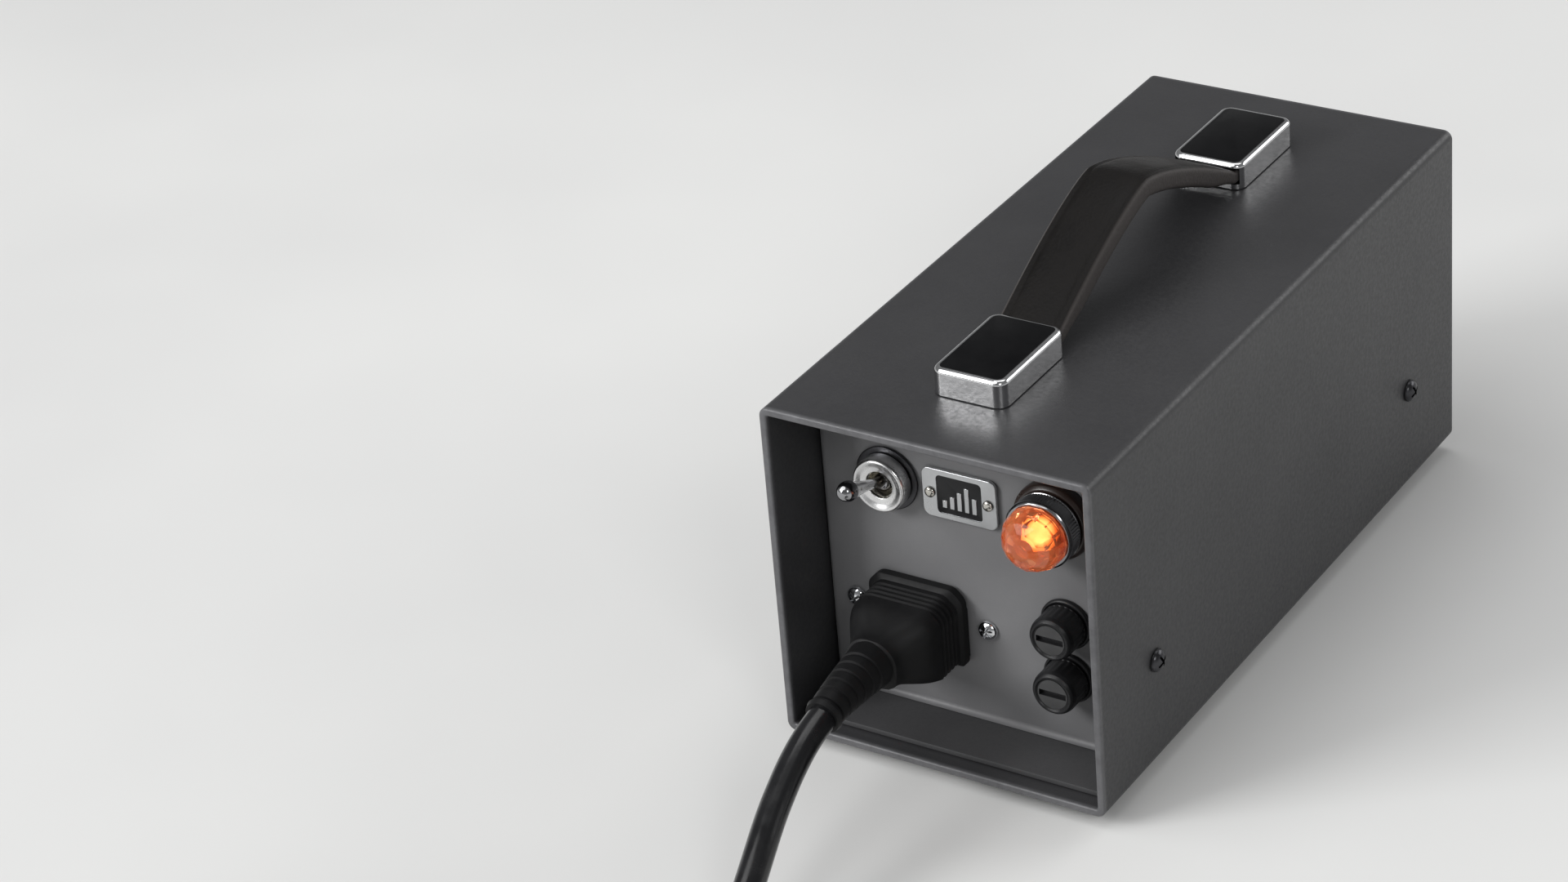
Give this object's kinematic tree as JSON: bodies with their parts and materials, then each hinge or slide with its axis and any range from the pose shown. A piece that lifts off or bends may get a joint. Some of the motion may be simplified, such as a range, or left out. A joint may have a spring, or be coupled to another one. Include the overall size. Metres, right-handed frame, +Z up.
{
  "type": "microphone preamp",
  "caption": "Mains-powered metal box with a recessed front panel holding toggle switch, amber pilot lamp, fuses and inlet, a strap handle on top and its mains lead.",
  "frame": {"origin": "on the surface the feet stand on, under the middle of the case", "axes": "+X to the right seen from the front, +Y from the front panel to the rear panel along the case's length, +Z up"},
  "size_m": [0.1473, 0.426, 0.13],
  "materials": {
    "case_paint": "dark grey baked enamel, fine texture, semi-gloss",
    "panel_paint": "mid grey satin enamel",
    "sheet_metal": "grey painted sheet steel",
    "zinc_steel": "zinc-plated steel",
    "chrome": "polished chrome plate",
    "cap_chrome": "polished chrome plate, black polished top",
    "dark_steel": "black-oxide steel",
    "nickel": "nickel plate",
    "name_plate": "etched aluminium plate, blackened field",
    "connector_metal": "satin nickel-plated die casting",
    "black_plastic": "moulded black plastic",
    "knob_plastic": "fluted black plastic",
    "lead_pvc": "glossy black flexible PVC",
    "foot_rubber": "black rubber",
    "strap_leather": "near-black leather-covered spring strap",
    "amber_jewel": "faceted amber jewel, lit from behind",
    "bulb_glass": "clear bulb glass",
    "fuse_glass": "clear glass tube with plated end caps",
    "core_steel": "varnished steel laminations",
    "winding_tape": "yellow winding tape",
    "board": "green circuit board",
    "capacitor_sleeve": "blue shrink sleeve"
  },
  "bodies": {
    "chassis": {"case_sleeve": "case_paint", "chassis_tray": "sheet_metal", "front_panel": "panel_paint", "rear_panel": "panel_paint", "side_screw_front_left": "dark_steel", "side_screw_front_right": "dark_steel", "side_screw_rear_left": "dark_steel", "side_screw_rear_right": "dark_steel", "foot_front_left": "foot_rubber", "foot_front_right": "foot_rubber", "foot_rear_left": "foot_rubber", "foot_rear_right": "foot_rubber", "handle_strap": "strap_leather", "handle_cap_front": "cap_chrome", "handle_cap_rear": "cap_chrome", "handle_screw_front": "zinc_steel", "handle_screw_rear": "zinc_steel", "switch_body": "black_plastic", "switch_nut": "chrome", "switch_washer": "dark_steel", "name_plate": "name_plate", "name_plate_rivet_left": "nickel", "name_plate_rivet_right": "nickel", "lamp_holder": "nickel", "lamp_flange": "black_plastic", "lamp_bulb": "bulb_glass", "mains_inlet": "black_plastic", "inlet_pin_earth": "nickel", "inlet_pin_live": "nickel", "inlet_pin_neutral": "nickel", "inlet_screw_left": "chrome", "inlet_screw_right": "chrome", "fuse_holder_upper": "black_plastic", "fuse_holder_lower": "black_plastic", "transformer_core": "core_steel", "transformer_winding": "winding_tape", "circuit_board": "board", "smoothing_capacitor": "capacitor_sleeve", "input_connector": "connector_metal", "input_insert": "black_plastic", "output_connector": "connector_metal", "output_insert": "black_plastic", "level_control": "nickel"},
    "switch_lever": {"switch_lever": "chrome"},
    "lamp_lens": {"lamp_bezel": "chrome", "lamp_jewel": "amber_jewel"},
    "fuse_upper_cartridge": {"fuse_cartridge_upper": "fuse_glass"},
    "fuse_upper_cap": {"fuse_cap_upper": "black_plastic"},
    "fuse_lower_cartridge": {"fuse_cartridge_lower": "fuse_glass"},
    "fuse_lower_cap": {"fuse_cap_lower": "black_plastic"},
    "mains_lead": {"lead_connector": "lead_pvc", "lead_boot": "lead_pvc", "mains_cord": "lead_pvc", "mains_cord_coil": "lead_pvc", "mains_cord_tail": "lead_pvc", "mains_plug": "lead_pvc", "plug_pin_left": "nickel", "plug_pin_right": "nickel"},
    "input_latch": {"input_latch": "black_plastic"},
    "level_knob": {"level_knob": "knob_plastic"}
  },
  "joints": [
    {"name": "power_switch_toggle", "type": "hinge", "parent": "chassis", "child": "switch_lever", "pos_m": [-0.0245, -0.086, 0.076], "axis": [1, 0, 0], "range_deg": [0, 39]},
    {"name": "lamp_lens_turn", "type": "hinge", "parent": "chassis", "child": "lamp_lens", "pos_m": [0.0251, -0.094, 0.0762], "axis": [0, -1, 0], "continuous": true},
    {"name": "fuse_upper_slide", "type": "slide", "parent": "chassis", "child": "fuse_upper_cartridge", "axis": [0, -1, 0], "range_m": [0, 0.026]},
    {"name": "fuse_upper_turn", "type": "hinge", "parent": "fuse_upper_cartridge", "child": "fuse_upper_cap", "pos_m": [0.0268, -0.09, 0.045], "axis": [0, -1, 0], "range_deg": [0, 90]},
    {"name": "fuse_lower_slide", "type": "slide", "parent": "chassis", "child": "fuse_lower_cartridge", "axis": [0, -1, 0], "range_m": [0, 0.026]},
    {"name": "fuse_lower_turn", "type": "hinge", "parent": "fuse_lower_cartridge", "child": "fuse_lower_cap", "pos_m": [0.0268, -0.09, 0.0285], "axis": [0, -1, 0], "range_deg": [0, 90]},
    {"name": "mains_lead_pull", "type": "slide", "parent": "chassis", "child": "mains_lead", "axis": [0, -1, 0], "range_m": [0, 0.022]},
    {"name": "input_latch_press", "type": "slide", "parent": "chassis", "child": "input_latch", "axis": [0, -1, 0], "range_m": [0, 0.0018], "stiffness_N_per_m": 400, "springref_m": -0.001},
    {"name": "level_knob_turn", "type": "hinge", "parent": "chassis", "child": "level_knob", "pos_m": [0, 0.094, 0.079], "axis": [0, 1, 0], "range_deg": [-150, 150]}
  ]
}
